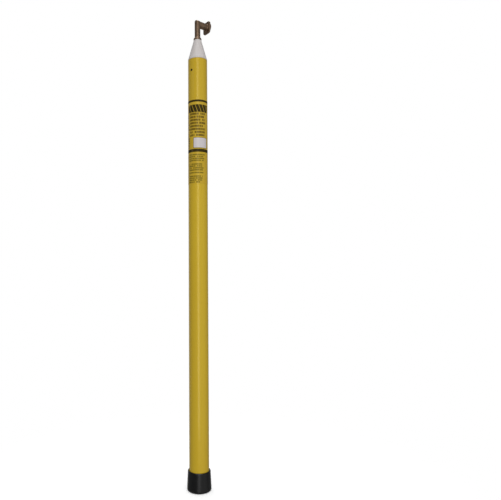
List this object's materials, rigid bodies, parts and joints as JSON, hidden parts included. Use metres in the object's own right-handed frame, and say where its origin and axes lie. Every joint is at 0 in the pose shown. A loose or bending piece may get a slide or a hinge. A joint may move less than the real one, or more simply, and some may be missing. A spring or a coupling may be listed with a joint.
{
  "type": "telescoping hot stick",
  "caption": "Telescoping insulated lineman's pole, collapsed: nested fibreglass tubes with sprung lock buttons, rubber boot, white nose cone, and bronze elbow head with a toothed tool face.",
  "frame": {"origin": "centre of the boot's flat sole, on the tubes' axis", "axes": "+Z along the tubes' axis from the boot to the head; +X the way the head's toothed tool face points; +Y completes a right-handed frame"},
  "size_m": [0.0915, 0.084, 1.659],
  "materials": {
    "fibreglass": "polished resin over glass cloth, golden yellow",
    "inner_fibreglass": "polished resin over glass cloth, golden yellow",
    "boot_rubber": "moulded black rubber, satin",
    "pad_rubber": "plain black rubber sheet",
    "nylon": "turned natural nylon",
    "label_vinyl": "clear-coated yellow vinyl with black bands",
    "cone_plastic": "moulded off-white plastic, satin",
    "button": "moulded black acetal",
    "spring_steel": "rolled strip",
    "rivet": "bright, set flush",
    "pin_steel": "ground",
    "bronze": "cast bronze, brown with wear",
    "foam": "rigid closed-cell foam"
  },
  "bodies": {
    "handle": {"base_tube": "fibreglass", "butt_boot": "boot_rubber", "end_disc": "nylon", "landing_pad": "pad_rubber", "upper_label": "label_vinyl", "lower_label": "label_vinyl"},
    "section_2": {"section_2_tube": "inner_fibreglass", "section_2_plug": "nylon", "section_2_spring": "spring_steel"},
    "section_2_lock": {"section_2_button": "button"},
    "section_3": {"section_3_tube": "inner_fibreglass", "section_3_plug": "nylon", "section_3_spring": "spring_steel"},
    "section_3_lock": {"section_3_button": "button"},
    "section_4": {"section_4_tube": "inner_fibreglass", "section_4_plug": "nylon", "section_4_spring": "spring_steel"},
    "section_4_lock": {"section_4_button": "button"},
    "section_5": {"section_5_tube": "inner_fibreglass", "section_5_plug": "nylon", "section_5_spring": "spring_steel"},
    "section_5_lock": {"section_5_button": "button"},
    "section_6": {"section_6_tube": "inner_fibreglass", "section_6_plug": "nylon", "section_6_spring": "spring_steel"},
    "section_6_lock": {"section_6_button": "button"},
    "section_7": {"section_7_tube": "inner_fibreglass", "section_7_plug": "nylon", "section_7_spring": "spring_steel"},
    "section_7_lock": {"section_7_button": "button"},
    "tip": {"tip_tube": "inner_fibreglass", "tip_plug": "nylon", "tip_spring": "spring_steel", "foam_core": "foam", "nose_cone": "cone_plastic", "universal_head": "bronze", "head_pins": "pin_steel", "latch_spring": "spring_steel", "latch_rivet": "rivet"},
    "tip_lock": {"tip_button": "button"},
    "latch": {"latch_button": "button"}
  },
  "joints": [
    {"name": "section_2_slide", "type": "slide", "parent": "handle", "child": "section_2", "axis": [0, 0, 1], "range_m": [0, 1.4057]},
    {"name": "section_2_lock_press", "type": "slide", "parent": "section_2", "child": "section_2_lock", "axis": [-0.9703, -0.2419, 0], "range_m": [0, 0.00255], "stiffness_N_per_m": 700, "springref_m": 0.006},
    {"name": "section_3_slide", "type": "slide", "parent": "section_2", "child": "section_3", "axis": [0, 0, 1], "range_m": [0, 1.2924]},
    {"name": "section_3_lock_press", "type": "slide", "parent": "section_3", "child": "section_3_lock", "axis": [-0.9703, -0.2419, 0], "range_m": [0, 0.00255], "stiffness_N_per_m": 700, "springref_m": 0.006},
    {"name": "section_4_slide", "type": "slide", "parent": "section_3", "child": "section_4", "axis": [0, 0, 1], "range_m": [0, 1.2421]},
    {"name": "section_4_lock_press", "type": "slide", "parent": "section_4", "child": "section_4_lock", "axis": [-0.9703, -0.2419, 0], "range_m": [0, 0.00255], "stiffness_N_per_m": 700, "springref_m": 0.006},
    {"name": "section_5_slide", "type": "slide", "parent": "section_4", "child": "section_5", "axis": [0, 0, 1], "range_m": [0, 1.1918]},
    {"name": "section_5_lock_press", "type": "slide", "parent": "section_5", "child": "section_5_lock", "axis": [-0.9703, -0.2419, 0], "range_m": [0, 0.00255], "stiffness_N_per_m": 700, "springref_m": 0.006},
    {"name": "section_6_slide", "type": "slide", "parent": "section_5", "child": "section_6", "axis": [0, 0, 1], "range_m": [0, 1.1415]},
    {"name": "section_6_lock_press", "type": "slide", "parent": "section_6", "child": "section_6_lock", "axis": [-0.9703, -0.2419, 0], "range_m": [0, 0.00255], "stiffness_N_per_m": 700, "springref_m": 0.006},
    {"name": "section_7_slide", "type": "slide", "parent": "section_6", "child": "section_7", "axis": [0, 0, 1], "range_m": [0, 1.0912]},
    {"name": "section_7_lock_press", "type": "slide", "parent": "section_7", "child": "section_7_lock", "axis": [-0.9703, -0.2419, 0], "range_m": [0, 0.00255], "stiffness_N_per_m": 700, "springref_m": 0.006},
    {"name": "tip_slide", "type": "slide", "parent": "section_7", "child": "tip", "axis": [0, 0, 1], "range_m": [0, 1.0409]},
    {"name": "tip_lock_press", "type": "slide", "parent": "tip", "child": "tip_lock", "axis": [-0.9703, -0.2419, 0], "range_m": [0, 0.00255], "stiffness_N_per_m": 700, "springref_m": 0.006},
    {"name": "latch_press", "type": "slide", "parent": "tip", "child": "latch", "axis": [-0.9703, -0.2419, 0], "range_m": [0, 0.00245], "stiffness_N_per_m": 700, "springref_m": 0.006}
  ]
}
